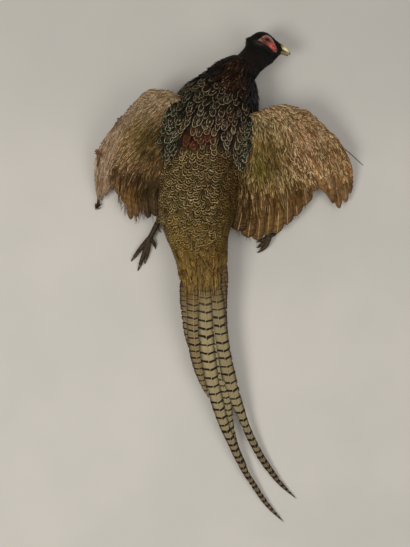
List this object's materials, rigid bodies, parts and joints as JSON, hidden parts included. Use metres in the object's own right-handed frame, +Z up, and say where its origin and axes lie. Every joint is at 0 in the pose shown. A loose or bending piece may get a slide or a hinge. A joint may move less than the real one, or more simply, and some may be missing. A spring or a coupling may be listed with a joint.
{
  "type": "taxidermy pheasant",
  "caption": "Life-size mounted cock pheasant lying on its breast with wings half spread, head turned to its right and a long barred tail; still display model.",
  "frame": {"origin": "on the floor, under the middle of the bird's box", "axes": "+Z up from the floor, +Y towards the head, -Y along the tail, +X to the bird's right, where the bill points"},
  "size_m": [0.4323, 0.7958, 0.1175],
  "materials": {
    "plumage_body": "layered contour feathers, olive gold to black and chestnut with cream marks",
    "plumage_neck": "short glossy black-green feathers",
    "plumage_wing": "soft tan-brown feathers with pale shafts",
    "plumage_tail": "khaki feathers with black crossbars",
    "wattle_skin": "bare red pimpled skin",
    "bill_horn": "satin horn",
    "eye_glass": "polished glass eye",
    "leg_scale": "dry scaly skin",
    "claw_horn": "dark horn",
    "quill": "bare feather shaft"
  },
  "bodies": {
    "root": {"trunk": "plumage_body", "head": "plumage_neck", "neck": "plumage_neck", "eye_right": "eye_glass", "eye_left": "eye_glass", "bill_upper": "bill_horn", "bill_lower": "bill_horn", "wing_right_coverts": "plumage_wing", "wing_right_secondaries": "plumage_wing", "wing_right_primaries": "plumage_wing", "wing_left_coverts": "plumage_wing", "wing_left_secondaries": "plumage_wing", "wing_left_primaries": "plumage_wing", "wing_right_quill": "quill", "tail": "plumage_tail", "leg_left": "leg_scale", "foot_left": "leg_scale", "spur_left": "claw_horn", "claw_left_inner": "claw_horn", "claw_left_middle": "claw_horn", "claw_left_outer": "claw_horn", "claw_left_hind": "claw_horn", "leg_right": "leg_scale", "foot_right": "leg_scale", "spur_right": "claw_horn", "claw_right_inner": "claw_horn", "claw_right_middle": "claw_horn", "claw_right_outer": "claw_horn", "claw_right_hind": "claw_horn"}
  },
  "joints": []
}
